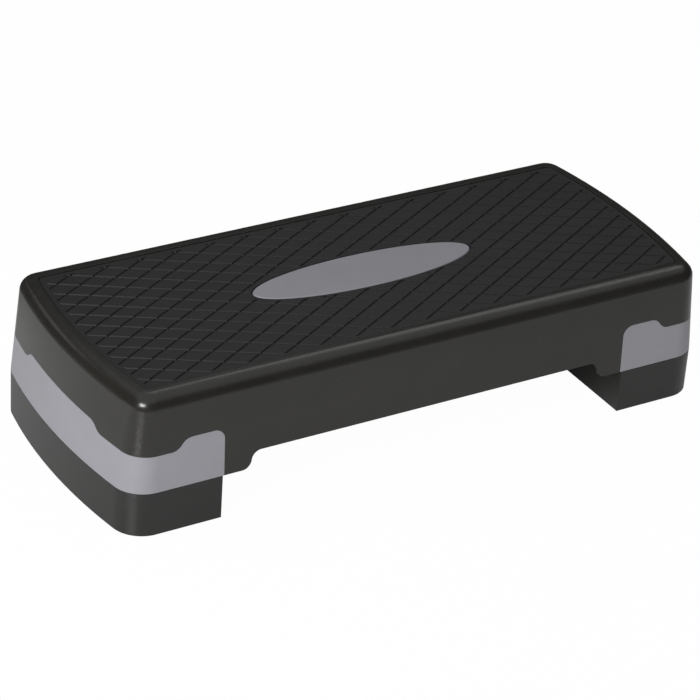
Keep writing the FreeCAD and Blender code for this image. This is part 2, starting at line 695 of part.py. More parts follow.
def riser_feet():
    """The two riser feet: open tubs with a closed inner face, ribs and four hollow pegs."""
    beyond_x, half_width = f"{END} + overrun", f"({SIDE} + overrun)"
    whole_y = (f"-{half_width}", half_width)
    floor_top = "pad_proud + foot_floor"
    outline = prism("foot_outline", "pad_proud", "foot_height", *wall_sizes("0", "0"))
    end = slab("foot_end", (FOOT_INNER, beyond_x), whole_y, ("0", FOOT_TOP))
    inside = prism("foot_inside", floor_top, "foot_height", *wall_sizes("0", "foot_wall"))
    inside_end = slab("foot_inside_end", (f"{FOOT_INNER} + foot_wall", beyond_x), whole_y,
                      (floor_top, f"{FOOT_TOP} + overrun"))
    rib_levels = (floor_top, f"{FOOT_TOP} - foot_rib_drop")
    middle = f"({END} - (peg_inner_inset + peg_outer_inset) / 2)"
    middle_span = (f"{middle} - foot_rib / 2", f"{middle} + foot_rib / 2")
    ribs = [slab("foot_long_rib", middle_span, whole_y, rib_levels)]
    for number, row in enumerate(RIB_ROWS):
        span = (f"{row} * {RIB_ROW} - foot_rib / 2", f"{row} * {RIB_ROW} + foot_rib / 2")
        ribs.append(slab(f"foot_cross_rib_{number}", (FOOT_INNER, beyond_x), span, rib_levels))
    peg_levels = (floor_top, f"{DECK_BOTTOM} + peg_reach")
    pegs = [post(f"peg_{number}", x, y, peg_levels, "peg_radius")
            for number, (x, y) in enumerate(peg_places([ENDS["right"]]))]
    bores = [post(f"peg_bore_{number}", x, y, (floor_top, f"{DECK_BOTTOM} + peg_reach + overrun"),
                  "peg_radius - peg_wall")
             for number, (x, y) in enumerate(peg_places([ENDS["right"]]))]
    for place, (x, y) in pad_places().items():
        bores.append(post(f"{place}_stem_hole", x, y, ("0", f"{floor_top} + overrun"),
                          "pad_stem_radius + stem_clearance"))
        bores.append(post(f"{place}_seat", x, y, ("0", "pad_proud + pad_seat"),
                          "pad_radius + stem_clearance"))
    hollow = cut("foot_hollow", common("foot_hollow_blank", inside, inside_end), fuse("foot_ribs", *ribs))
    tub = cut("foot_tub", common("foot_blank", outline, end), hollow)
    foot = cut("foot", fuse("foot_with_pegs", tub, *pegs), fuse("foot_bores", *bores))
    named(foot, "right_foot")
    named(mirrored("other_foot", foot), "left_foot")


def pad_places():
    """Where a foot's rubber pads lie at the +X end, as expressions."""
    return {f"{side}_{row}": (f"({END} - pad_{row}_inset)", f"{SIDES[side]} * ({SIDE} - pad_side_inset)")
            for side in SIDES for row in ("inner", "outer")}


def turned_body(label, place, profile):
    """A body turned about its own upright axis from (radius, height) expressions, set at a place."""
    body = doc.addObject("PartDesign::Body", f"{label}_body")
    plane = next(item for item in body.Origin.OriginFeatures if item.Role == "XZ_Plane")
    sketch = body.newObject("Sketcher::SketchObject", f"{label}_profile")
    sketch.AttachmentSupport = [(plane, "")]
    sketch.MapMode = "FlatFace"
    points = [FreeCAD.Vector(size(radius), size(height), 0) for radius, height in profile]
    lines = [sketch.addGeometry(Part.LineSegment(point, following))
             for point, following in zip(points, points[1:] + points[:1])]
    start_point, end_point, origin, x_axis, y_axis = 1, 2, -1, -1, -2
    for line, following in zip(lines, lines[1:] + lines[:1]):
        sketch.addConstraint(Sketcher.Constraint("Coincident", line, end_point, following, start_point))
    for line, point, (radius, height) in zip(lines, points, profile):
        across = ("DistanceX", y_axis, point.x, radius)
        up = ("DistanceY", x_axis, point.y, height)
        for kind, axis, number, text in (across, up):
            if text == "0":
                sketch.addConstraint(Sketcher.Constraint("PointOnObject", line, start_point, axis))
                continue
            rule = Sketcher.Constraint(kind, origin, start_point, line, start_point, number)
            bind(sketch, f"Constraints[{sketch.addConstraint(rule)}]", text)
    turned = body.newObject("PartDesign::Revolution", f"{label}_turned")
    turned.Profile = sketch
    turned.ReferenceAxis = (sketch, ["V_Axis"])
    turned.Angle = 360
    for axis, text in zip("xyz", place):
        bind(body, f"Placement.Base.{axis}", text)
    named(body, label)


def push_in_profile(radius, thickness, stem, wall, head, head_height):
    """A rubber pad with a stem through a wall and a tapered head that holds it there."""
    neck = f"{wall} + stem_clearance"
    return [("0", "0"), (radius, "0"), (radius, thickness), (stem, thickness), (stem, neck),
            (head, neck), (stem, f"{neck} + {head_height}"), ("0", f"{neck} + {head_height}")]


def rubber_pads():
    """Four push-in pads under each foot and four smaller glides under the deck."""
    pad = push_in_profile("pad_radius", "pad_proud + pad_seat", "pad_stem_radius", "pad_proud + foot_floor",
                          "pad_head_radius", "pad_head")
    for end, way in ENDS.items():
        for place, (x, y) in pad_places().items():
            turned_body(f"{end}_foot_pad_{place}", (f"{way} * {x}", y, "0"), pad)
    glide = push_in_profile("glide_radius", "glide_proud + glide_seat", "glide_stem_radius",
                            "glide_proud + shelf_thickness", "glide_head_radius", "glide_head")
    for place, (x, y) in glide_places().items():
        turned_body(f"deck_glide_{place}", (x, y, f"{DECK_BOTTOM} - glide_proud"), glide)


def check_and_write():
    """Stops at any failed object or bad shape, then writes one file for each sub-part."""
    doc.recompute()
    failed = [item.Name for item in doc.Objects if "Invalid" in item.State or "Error" in item.State]
    if failed:
        raise RuntimeError(f"objects that failed: {failed}")
    for item in finished:
        shape = item.Shape
        if shape.isNull() or not shape.isValid() or not shape.Solids:
            raise RuntimeError(f"bad shape: {item.Label}")
    os.makedirs("parts", exist_ok=True)
    for item in finished:
        shape = item.Shape
        shape.exportStep(os.path.join("parts", f"{item.Label}.step"))
        print(f"{item.Label}: {len(shape.Solids)} solid(s), {shape.Volume / 1000:.2f} cm3")


finished = []
deck_shell()
rib_lattice()
tread_pad()
oval_inlay()
end_bands()
riser_feet()
rubber_pads()
check_and_write()
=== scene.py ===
import json
import math

import bpy
import numpy as np
from bpy.props import FloatProperty, FloatVectorProperty, IntProperty, PointerProperty
from mathutils import Matrix, Vector

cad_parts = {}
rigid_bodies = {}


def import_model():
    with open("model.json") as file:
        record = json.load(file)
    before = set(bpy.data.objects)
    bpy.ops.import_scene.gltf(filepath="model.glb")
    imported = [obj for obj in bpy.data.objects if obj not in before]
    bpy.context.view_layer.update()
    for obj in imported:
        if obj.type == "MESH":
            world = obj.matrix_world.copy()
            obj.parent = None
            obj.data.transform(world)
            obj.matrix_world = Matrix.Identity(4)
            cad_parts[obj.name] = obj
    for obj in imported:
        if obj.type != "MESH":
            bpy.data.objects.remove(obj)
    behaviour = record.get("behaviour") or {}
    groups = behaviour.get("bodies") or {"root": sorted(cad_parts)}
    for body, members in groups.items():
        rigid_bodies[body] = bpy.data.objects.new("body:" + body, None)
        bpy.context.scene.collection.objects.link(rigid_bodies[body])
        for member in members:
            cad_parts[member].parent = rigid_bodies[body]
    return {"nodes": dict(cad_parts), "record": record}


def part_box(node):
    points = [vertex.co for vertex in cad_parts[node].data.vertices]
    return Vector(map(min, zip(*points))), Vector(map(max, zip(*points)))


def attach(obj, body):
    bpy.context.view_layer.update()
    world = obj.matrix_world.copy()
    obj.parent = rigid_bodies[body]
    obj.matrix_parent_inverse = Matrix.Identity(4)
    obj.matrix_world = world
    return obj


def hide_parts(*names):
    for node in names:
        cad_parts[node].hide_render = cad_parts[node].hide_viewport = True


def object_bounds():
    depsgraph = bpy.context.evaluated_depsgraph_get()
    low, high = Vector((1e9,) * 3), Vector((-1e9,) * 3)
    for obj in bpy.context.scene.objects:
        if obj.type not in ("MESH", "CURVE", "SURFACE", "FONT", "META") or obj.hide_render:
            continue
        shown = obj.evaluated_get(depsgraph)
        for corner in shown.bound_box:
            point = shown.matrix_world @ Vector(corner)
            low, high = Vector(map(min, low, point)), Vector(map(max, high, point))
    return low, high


# The file starts empty
for thing in list(bpy.data.objects):
    bpy.data.objects.remove(thing)

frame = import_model()
CAD_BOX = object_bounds()

bl_info = {
    "name": "Aerobic step platform",
    "version": (1, 0, 0),
    "blender": (4, 5, 0),
    "location": "3D View > Sidebar > Step",
    "description": "Dresses the step platform in plastic, rubber and steel, and sets up a studio",
    "category": "Object",
}

MILLIMETRE = 0.001
DEGREE = math.pi / 180
WHITE = (1.0, 1.0, 1.0, 1.0)
BLACK = (0.0, 0.0, 0.0, 1.0)

# The middle of a noise that goes from 0 to 1, and the width of the camera's sensor in millimetres
NOISE_MIDDLE = 0.5
SENSOR_WIDTH = 36.0

# Nodes of the frame, by what they are made of
DECK_NODES = ("deck_shell", "rib_lattice")
FOOT_NODES = ("left_foot", "right_foot")
GREY_NODES = ("left_end_band", "right_end_band", "oval_inlay")
BAND_SCREWS = ("left_band_screws", "right_band_screws")
FOOT_PADS = [f"{end}_foot_pad_{side}_{row}"
             for end in ("left", "right") for side in ("front", "back") for row in ("inner", "outer")]
GLIDES = [f"deck_glide_{side}_{end}" for side in ("front", "back") for end in ("left", "right")]

# Profiles of the push-in pads, in metres
PAD_PROFILE = {"disc_height": 2.7 * MILLIMETRE, "stem_radius": 3.4 * MILLIMETRE,
               "neck_height": 5.3 * MILLIMETRE, "head_radius": 4.6 * MILLIMETRE}
GLIDE_PROFILE = {"disc_height": 2.0 * MILLIMETRE, "stem_radius": 2.2 * MILLIMETRE,
                 "neck_height": 4.1 * MILLIMETRE, "head_radius": 3.2 * MILLIMETRE}

# Screws, in millimetres. A head's profile gives radius and height, from the rim of its face out to the edge
# and back in to the shank.
SHANK_RADIUS = 1.7
FLANGE_HEAD = ((4.1, 0.55), (4.3, 0.75), (4.4, 1.0), (4.5, 1.1), (5.4, 1.3), (5.55, 1.4), (5.6, 1.55),
               (5.6, 1.9), (5.5, 2.0), (2.0, 2.0), (1.7, 2.1))
SUNK_HEAD = ((3.5, 0.0), (3.58, 0.03), (3.6, 0.1), (3.5, 0.2), (1.85, 1.9), (1.7, 2.1))

# The studio's lamps. Angles are in degrees, azimuth 0 is the front and 90 is the right, sizes are in metres,
# and a lamp of brightness 1 looks just white.
LAMPS = {
    "key_lamp": {"azimuth": -59, "elevation": 23, "distance": 2.6, "width": 1.5, "height": 1.1,
                 "brightness": 1.7},
    "key_core": {"azimuth": -59, "elevation": 24, "distance": 2.5, "width": 0.86, "height": 0.56,
                 "brightness": 25.0},
    "back_lamp": {"azimuth": 129, "elevation": 50, "distance": 1.7, "width": 1.5, "height": 0.4,
                  "brightness": 1.2},
    "left_rim_lamp": {"azimuth": -143, "elevation": 24, "distance": 1.7, "width": 0.5, "height": 0.25,
                      "brightness": 0.9},
}


# Shader sums

class Value:
    """A shader socket that takes part in Python sums. Each sum adds one Math node."""

    def __init__(self, shader, socket):
        self.shader = shader
        self.socket = socket

    def __add__(self, other):
        return self.shader.math("ADD", self, other)

    def __radd__(self, other):
        return self.shader.math("ADD", other, self)

    def __sub__(self, other):
        return self.shader.math("SUBTRACT", self, other)

    def __rsub__(self, other):
        return self.shader.math("SUBTRACT", other, self)

    def __mul__(self, other):
        return self.shader.math("MULTIPLY", self, other)

    def __rmul__(self, other):
        return self.shader.math("MULTIPLY", other, self)


class Shader:
    """The nodes of one material or world, with one method that adds any node."""

    def __init__(self, tree):
        self.tree = tree
        self.tree.nodes.clear()

    def add(self, kind, settings=None, inputs=None, output=0):
        """Adds a node: its settings are set first, then the values or links of its sockets."""
        node = self.tree.nodes.new(kind)
        for name, setting in (settings or {}).items():
            setattr(node, name, setting)
        for name, value in (inputs or {}).items():
            socket = node.inputs[name]
            if isinstance(value, Value):
                self.tree.links.new(value.socket, socket)
            else:
                socket.default_value = value
        return Value(self, node.outputs[output]) if node.outputs else node

    def math(self, operation, *values):
        return self.add("ShaderNodeMath", {"operation": operation}, dict(enumerate(values)))

    def place(self):
        """The point on the surface in the model's own frame, in metres."""
        return self.add("ShaderNodeTexCoord", output="Object")

    def largest(self, *values):
        """The largest of some values."""
        result = values[0]
        for value in values[1:]:
            result = self.math("MAXIMUM", result, value)
        return result

    def along(self, place, axis):
        """A place's coordinate on one axis."""
        return self.add("ShaderNodeSeparateXYZ", {}, {"Vector": place}, axis)

    def off_middle(self, place, axis):
        """How far a place lies from the middle along an axis, on either side."""
        return self.math("ABSOLUTE", self.along(place, axis))

    def compare(self, operation, first, second):
        """A number that is worked out from two vectors."""
        return self.add("ShaderNodeVectorMath", {"operation": operation}, {0: first, 1: second}, "Value")

    def noise(self, place, scale, detail=2.0, roughness=0.5):
        """A noise from 0 to 1 with a number of waves per metre."""
        return self.add("ShaderNodeTexNoise", {}, {"Vector": place, "Scale": scale, "Detail": detail,
                                                   "Roughness": roughness})

    def swing(self, noise, height):
        """A noise moved to swing about zero, by a height from its lowest to its highest."""
        return (noise - NOISE_MIDDLE) * height

    def cells(self, place, scale):
        """The distance to the nearest of many scattered points, in cells."""
        return self.add("ShaderNodeTexVoronoi", {"feature": "F1"}, {"Vector": place, "Scale": scale})

    def smooth_step(self, value, low, high):
        """0 below a level, 1 above another and a smooth rise between them."""
        return self.add("ShaderNodeMapRange", {"interpolation_type": "SMOOTHSTEP"},
                        {"Value": value, "From Min": low, "From Max": high})

    def turned_and_stretched(self, place, turn, scales):
        """The place turned about the upright axis and then stretched along each axis."""
        turned = self.add("ShaderNodeMapping", {"vector_type": "POINT"},
                          {"Vector": place, "Rotation": (0.0, 0.0, turn)})
        return self.add("ShaderNodeMapping", {"vector_type": "POINT"}, {"Vector": turned, "Scale": scales})

    def mix_colour(self, share, first, second):
        """A colour between two colours."""
        first_colour, second_colour, mixed = 6, 7, 2
        return self.add("ShaderNodeMix", {"data_type": "RGBA"},
                        {"Factor": share, first_colour: first, second_colour: second}, mixed)

    def mix_surface(self, share, first, second):
        """A surface between two surfaces."""
        factor, first_surface, second_surface = 0, 1, 2
        return self.add("ShaderNodeMixShader", {},
                        {factor: share, first_surface: first, second_surface: second})

    def soft_edge(self, radius):
        """The surface's normal with its sharp edges rounded off by a radius."""
        rays = 6
        return self.add("ShaderNodeBevel", {"samples": rays}, {"Radius": radius})

    def edge_share(self, rounded):
        """How far the rounded normal has turned away from the true one: 0 on faces, more on edges."""
        true_normal = self.add("ShaderNodeNewGeometry", output="Normal")
        return self.largest(1.0 - self.compare("DOT_PRODUCT", rounded, true_normal), 0.0)

    def bump(self, height, distance, strength, normal):
        return self.add("ShaderNodeBump", {}, {"Strength": strength, "Distance": distance,
                                               "Height": height, "Normal": normal})

    def finish(self, inputs):
        """The surface's shader and the material's output."""
        surface = self.add("ShaderNodeBsdfPrincipled", {}, inputs)
        self.add("ShaderNodeOutputMaterial", {}, {"Surface": surface})


def new_material(name):
    material = bpy.data.materials.new(name)
    material.use_nodes = True
    return material, Shader(material.node_tree)


def scaled(colour, share=1.0):
    """A colour made lighter or darker by a share, opaque."""
    return (*[channel * share for channel in colour], 1.0)


# Materials

def fine_scratches(shader, place):
    """Sparse hairline marks in two directions: ridges of a noise that is drawn out along each direction."""
    patch_start, patch_full = 0.46, 0.62
    line_start, line_full = 0.66, 0.74
    line_turns, line_waves = (25 * DEGREE, -50 * DEGREE), (9.0, 900.0, 900.0)
    patches = shader.smooth_step(shader.noise(place, scale=14.0, detail=3.0), patch_start, patch_full)
    lines = 0.0
    for turn in line_turns:
        drawn_out = shader.turned_and_stretched(place, turn, line_waves)
        ridges = shader.noise(drawn_out, scale=1.0, detail=1.0)
        lines = shader.smooth_step(ridges, line_start, line_full) + lines
    return shader.math("MINIMUM", lines * patches, 1.0)


def moulded_plastic(name, colour, worn_colour, roughness, specular, grain, clouding):
    """Moulded plastic with a fine spark-eroded grain.

    The melt's flow leaves faint clouds, edges are rubbed lighter, and hairline scratches dull the gloss.
    """
    edge_radius = 0.7 * MILLIMETRE
    edge_start, edge_full = 0.03, 0.22
    even_wear, cloud_wear = 0.6, 0.8
    cloud_part, flow_part = 0.6, 0.4
    dark_below, light_above = 0.3, 0.7
    edge_fade, scratch_fade = 0.55, 0.10
    cloud_dulling, fine_dulling, edge_dulling, scratch_dulling = 0.06, 0.05, 0.05, 0.08
    fine_part, pebble_part, grain_strength = 0.6, 0.4, 0.3
    material, shader = new_material(name)
    place = shader.place()
    fine = shader.noise(place, scale=2400.0)
    pebble = shader.cells(place, scale=1500.0)
    clouds = shader.noise(place, scale=26.0, detail=4.0, roughness=0.6)
    drawn_out = shader.turned_and_stretched(place, turn=0.0, scales=(6.0, 18.0, 40.0))
    flow = shader.noise(drawn_out, scale=1.0, detail=3.0)
    scratches = fine_scratches(shader, place)
    rounded = shader.soft_edge(edge_radius)
    wear = even_wear + cloud_wear * clouds
    edges = shader.smooth_step(shader.edge_share(rounded) * wear, edge_start, edge_full)
    mottle = shader.smooth_step(clouds * cloud_part + flow * flow_part, dark_below, light_above)
    tone = shader.mix_colour(mottle, scaled(colour, 1.0 - clouding), scaled(colour, 1.0 + clouding))
    worn = shader.mix_colour(edges * edge_fade + scratches * scratch_fade, tone, scaled(worn_colour))
    uneven = roughness + shader.swing(clouds, cloud_dulling) + shader.swing(fine, fine_dulling)
    shader.finish({
        "Base Color": worn,
        "Roughness": uneven + edges * edge_dulling + scratches * scratch_dulling,
        "Specular IOR Level": specular,
        "Normal": shader.bump(fine * fine_part + pebble * pebble_part, grain, grain_strength, rounded),
    })
    return material


def tread_rubber(name, colour, groove_shade_colour, roughness, specular):
    """Matte non-slip sheet: a fine leathery grain, slightly rubbed edges and painted shade low in the
    grooves.
    """
    groove_start, groove_full = 0.05 * MILLIMETRE, 0.45 * MILLIMETRE
    edge_radius, grain_depth, grain_strength = 0.35 * MILLIMETRE, 0.05 * MILLIMETRE, 0.4
    edge_start, edge_full, edge_fade = 0.02, 0.2, 0.25
    cloud_part, fine_part = 0.7, 0.3
    dark_below, light_above = 0.3, 0.7
    darkest, lightest, rubbed_light = 0.9, 1.1, 1.9
    cloud_dulling, fine_dulling = 0.08, 0.10
    fine_height, grain_height = 0.5, 0.5
    material, shader = new_material(name)
    place = shader.place()
    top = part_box("tread_pad")[1].z
    fine = shader.noise(place, scale=1700.0, detail=3.0, roughness=0.6)
    grain = shader.cells(place, scale=900.0)
    clouds = shader.noise(place, scale=18.0, detail=4.0, roughness=0.6)
    # Painted shade: the grooves turn darker towards their bottoms
    low = shader.smooth_step(top - shader.along(place, "Z"), groove_start, groove_full)
    rounded = shader.soft_edge(edge_radius)
    edges = shader.smooth_step(shader.edge_share(rounded), edge_start, edge_full)
    mottle = shader.smooth_step(clouds * cloud_part + fine * fine_part, dark_below, light_above)
    tone = shader.mix_colour(mottle, scaled(colour, darkest), scaled(colour, lightest))
    rubbed = shader.mix_colour(edges * edge_fade, tone, scaled(colour, rubbed_light))
    groove_shaded = shader.mix_colour(low, rubbed, scaled(groove_shade_colour))
    height = fine * fine_height + grain * grain_height
    shader.finish({
        "Base Color": groove_shaded,
        "Roughness": roughness + shader.swing(clouds, cloud_dulling) + shader.swing(fine, fine_dulling),
        "Specular IOR Level": specular,
        "Normal": shader.bump(height, grain_depth, grain_strength, rounded),
    })
    return material


def pad_rubber(name, colour):
    """Soft rubber with a dull bloom and a fine grain."""
    bloom_start, bloom_full = 0.35, 0.75
    darkest, lightest = 0.85, 1.5
    roughness, bloom_dulling, specular = 0.72, 0.2, 0.35
    edge_radius, grain_depth, grain_strength = 0.2 * MILLIMETRE, 0.05 * MILLIMETRE, 0.4
    material, shader = new_material(name)
    place = shader.place()
    fine = shader.noise(place, scale=1900.0, detail=3.0)
    bloom = shader.noise(place, scale=120.0, detail=4.0, roughness=0.65)
    bloomed = shader.smooth_step(bloom, bloom_start, bloom_full)
    shader.finish({
        "Base Color": shader.mix_colour(bloomed, scaled(colour, darkest), scaled(colour, lightest)),
        "Roughness": roughness + shader.swing(bloom, bloom_dulling),
        "Specular IOR Level": specular,
        "Normal": shader.bump(fine, grain_depth, grain_strength, shader.soft_edge(edge_radius)),
    })
    return material


def zinc_steel(name, colour):
    """Zinc-plated steel: fine turning marks and a faint clouding of the plating."""
    cloud_start, cloud_full = 0.35, 0.7
    darkest, lightest = 0.8, 1.1
    roughness, mark_dulling, cloud_dulling = 0.30, 0.25, 0.15
    edge_radius, mark_depth, mark_strength = 0.1 * MILLIMETRE, 0.02 * MILLIMETRE, 0.3
    material, shader = new_material(name)
    place = shader.place()
    flattened = shader.turned_and_stretched(place, turn=0.0, scales=(900.0, 900.0, 9000.0))
    marks = shader.noise(flattened, scale=1.0)
    clouds = shader.noise(place, scale=400.0, detail=4.0)
    clouded = shader.smooth_step(clouds, cloud_start, cloud_full)
    shader.finish({
        "Base Color": shader.mix_colour(clouded, scaled(colour, darkest), scaled(colour, lightest)),
        "Metallic": 1.0,
        "Roughness": roughness + shader.swing(marks, mark_dulling) + shader.swing(clouds, cloud_dulling),
        "Normal": shader.bump(marks, mark_depth, mark_strength, shader.soft_edge(edge_radius)),
    })
    return material


def floor_white(name):
    """A white floor with a faint shadow.

    To the camera it is nearly clear from above and quite clear from below, so that the white room, the
    object's underside and lowered feet show through it. Reflections show a painted pool of light round the
    object that dims further out, and a painted shadow under the deck, with a faint gloss that mirrors the
    lamps. All other light is shared between a glow and plain white paper.
    """
    # A painted pool of light round the object, seen only in the floor's reflections
    pool_middle, pool_shape = (0.0, -0.08, 0.0), (0.62, 1.0, 1.0)
    pool_edge, pool_end = 0.44, 0.68
    pool_level, pool_fall = 0.88, 0.80
    # Bounds of a painted shadow under the deck, seen only in the floor's reflections
    half_length, half_width = CAD_BOX[1][0], CAD_BOX[1][1]
    dark_length, dark_width, shaded_share = 0.8 * half_length, 0.35 * half_width, 0.22
    clear_share, reflected_share, other_share = 0.96, 0.35, 0.55
    gloss_share, gloss_roughness = 0.08, 0.14
    dim_paper, white_paper = (0.05, 0.05, 0.05, 1.0), (0.88, 0.88, 0.88, 1.0)
    material, shader = new_material(name)
    place = shader.place()
    reach = shader.compare("DISTANCE", shader.turned_and_stretched(place, 0.0, pool_shape), pool_middle)
    pool = pool_level - pool_fall * shader.smooth_step(reach, pool_edge, pool_end)
    beside = shader.smooth_step(shader.off_middle(place, "Y"), dark_width, half_width)
    beyond = shader.smooth_step(shader.off_middle(place, "X"), dark_length, half_length)
    # The painted pool of light, darkened by the painted shadow under the deck
    near = pool * shader.largest(beside, beyond, shaded_share)
    path = shader.add("ShaderNodeLightPath").socket.node
    rays = {kind: Value(shader, path.outputs[f"Is {kind} Ray"])
            for kind in ("Camera", "Transmission", "Shadow", "Glossy")}
    # Reflections take the painted pool and shadow, and all other rays see the floor evenly white
    level = shader.largest(1.0 - rays["Glossy"], near)
    paper_colour = shader.mix_colour(level, dim_paper, white_paper)
    paper = shader.add("ShaderNodeBsdfDiffuse", {}, {"Color": paper_colour})
    glow = shader.add("ShaderNodeEmission", {}, {"Color": shader.mix_colour(level, BLACK, WHITE)})
    gloss = shader.add("ShaderNodeBsdfGlossy", {}, {"Color": WHITE, "Roughness": gloss_roughness})
    clear = shader.add("ShaderNodeBsdfTransparent", {}, {"Color": WHITE})
    glow_share = other_share + rays["Glossy"] * (reflected_share - other_share)
    lit = shader.mix_surface(glow_share, paper, glow)
    glossed = shader.mix_surface(rays["Glossy"] * gloss_share, lit, gloss)
    passing = shader.largest(rays["Camera"], rays["Transmission"], rays["Shadow"])
    below = shader.add("ShaderNodeNewGeometry", output="Backfacing")
    clearness = passing * shader.largest(below, clear_share)
    shader.add("ShaderNodeOutputMaterial", {}, {"Surface": shader.mix_surface(clearness, glossed, clear)})
    material.cycles.emission_sampling = "NONE"
    return material


def dress(nodes, material):
    """Gives nodes of the frame a material in place of their plain one."""
    for node in nodes:
        slots = frame["nodes"][node].data.materials
        slots.clear()
        slots.append(material)


# Surfaces

def turned_shape(centre, radius, height, pole_heights):
    """A closed turned shape about an upright line through the centre.

    Ring i, point j lies at centre + (radius[i, j] cos t[j], radius[i, j] sin t[j], height[i, j]), with the
    angles t[j] spread evenly. The rings run from the lower end outwards and up, and a point on the axis
    closes each end.
    """
    rings, steps = radius.shape
    turn = np.arange(steps) * (2 * np.pi / steps)
    rows = np.stack([radius * np.cos(turn), radius * np.sin(turn), height], axis=-1).reshape(-1, 3)
    poles = np.array([[0.0, 0.0, pole_height] for pole_height in pole_heights])
    here = np.arange(steps)
    after = (here + 1) % steps
    start = np.arange(rings - 1)[:, None] * steps
    sides = np.stack([start + here, start + after, start + steps + after, start + steps + here], axis=-1)
    last = (rings - 1) * steps
    low_cap = np.stack([np.full(steps, rings * steps), after, here], axis=-1)
    high_cap = np.stack([last + here, last + after, np.full(steps, rings * steps + 1)], axis=-1)
    return np.concatenate([rows, poles]) + centre, sides.reshape(-1, 4), np.concatenate([low_cap, high_cap])


def quarter_round(centre, radius, start, steps):
    """Points (radius, height) on a quarter of a circle, counter-clockwise from a starting angle."""
    angle = np.linspace(start, start + np.pi / 2, steps)
    return centre[0] + radius * np.cos(angle), centre[1] + radius * np.sin(angle)


def mesh_piece(name, shapes, material):
    """A new smooth mesh object at the origin.

    It joins shapes that are given as arrays of points, quads and triangles.
    """
    starts = np.cumsum([0] + [len(points) for points, _, _ in shapes])
    faces = []
    for start, (_, quads, triangles) in zip(starts, shapes):
        faces += (quads + start).tolist() + (triangles + start).tolist()
    mesh = bpy.data.meshes.new(name)
    mesh.from_pydata(np.concatenate([points for points, _, _ in shapes]).tolist(), [], faces)
    mesh.polygons.foreach_set("use_smooth", np.ones(len(faces), dtype=bool))
    mesh.materials.append(material)
    mesh.update()
    piece = bpy.data.objects.new(name, mesh)
    bpy.context.scene.collection.objects.link(piece)
    return piece


def stand_for(piece, node):
    """Lets a new piece take a node's place: it rides on the node's body, and the node is hidden."""
    bodies = frame["record"]["behaviour"]["bodies"]
    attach(piece, next(body for body, members in bodies.items() if node in members))
    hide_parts(node)


def loose_parts(node):
    """The lowest and highest corners of each loose part of a node's mesh.

    Points at one place count as one. Each point takes the lowest number among the points that it shares an
    edge with, again and again until nothing changes, and then every point of a part has the same number.
    """
    mesh = frame["nodes"][node].data
    points = np.empty(3 * len(mesh.vertices))
    mesh.vertices.foreach_get("co", points)
    edges = np.empty(2 * len(mesh.edges), dtype=int)
    mesh.edges.foreach_get("vertices", edges)
    decimals = 6
    places, number_of = np.unique(points.reshape(-1, 3).round(decimals), axis=0, return_inverse=True)
    first, second = number_of.reshape(-1)[edges].reshape(-1, 2).T
    part = np.arange(len(places))
    settled = False
    while not settled:
        lowest = part.copy()
        np.minimum.at(lowest, first, part[second])
        np.minimum.at(lowest, second, part[first])
        settled = bool((lowest == part).all())
        part = lowest
    return [(places[part == number].min(axis=0), places[part == number].max(axis=0))
            for number in np.unique(part)]


def push_in_pad(node, disc_height, stem_radius, neck_height, head_radius, sizes):
    """A rubber pad with rings moulded in its underside, a stem and a tapered head that holds it in its hole.

    The underside rises by ring_depth times the square of the sine of pi times the ring's number, and has a
    shallow dimple in the middle. The disc's edges are quarter rounds.
    """
    face_points, edge_points = 60, 6
    inner_share, dimple_share, outer_edges = 0.22, 0.8, 2.2
    low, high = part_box(node)
    radius, length = (high.x - low.x) / 2, high.z - low.z
    edge = sizes.pad_edge
    inner, outer = radius * inner_share, radius - outer_edges * edge
    across = np.linspace(radius / face_points, radius - edge, face_points)
    ring_number = np.clip((across - inner) / (outer - inner), 0.0, 1.0) * sizes.pad_rings
    dimple = np.clip(1.0 - (across / (inner * dimple_share)) ** 2, 0.0, 1.0) ** 2
    rise = sizes.ring_depth * (np.sin(np.pi * ring_number) ** 2 + dimple)
    low_edge = quarter_round((radius - edge, edge), edge, -np.pi / 2, edge_points)
    high_edge = quarter_round((radius - edge, disc_height - edge), edge, 0.0, edge_points)
    neck = np.array([(stem_radius + edge, disc_height), (stem_radius, disc_height + edge / 2),
                     (stem_radius, neck_height), (head_radius - edge / 2, neck_height),
                     (head_radius, neck_height + edge / 2), (stem_radius, length - edge / 2),
                     (stem_radius - edge, length)]).T
    profile_radius = np.concatenate([across, low_edge[0], high_edge[0], neck[0]])
    profile_height = np.concatenate([rise, low_edge[1], high_edge[1], neck[1]])
    steps = np.ones(sizes.pad_steps)
    centre = np.array([(low.x + high.x) / 2, (low.y + high.y) / 2, low.z])
    return turned_shape(centre, profile_radius[:, None] * steps, profile_height[:, None] * steps,
                        (rise[0], length))


def cross_recess(radius, turn, length, half_width, depth):
    """How deep a cross recess is at each point of a screw's head.

    Each of two bars has the half width and length of the cross and soft walls, and the floor slopes up
    towards the ends of the bars.
    """
    soft_wall, halfway = half_width / 2, 0.5
    floor_start, floor_end = 1.2, 0.3
    across, along = np.abs(radius * np.cos(turn)), np.abs(radius * np.sin(turn))

    def bar(narrow, wide):
        inside = np.minimum((half_width - narrow) / soft_wall, (length - wide) / soft_wall)
        return np.clip(inside + halfway, 0.0, 1.0)

    slope = np.clip(floor_start - radius / length, floor_end, 1.0)
    return depth * np.maximum(bar(across, along), bar(along, across)) * slope


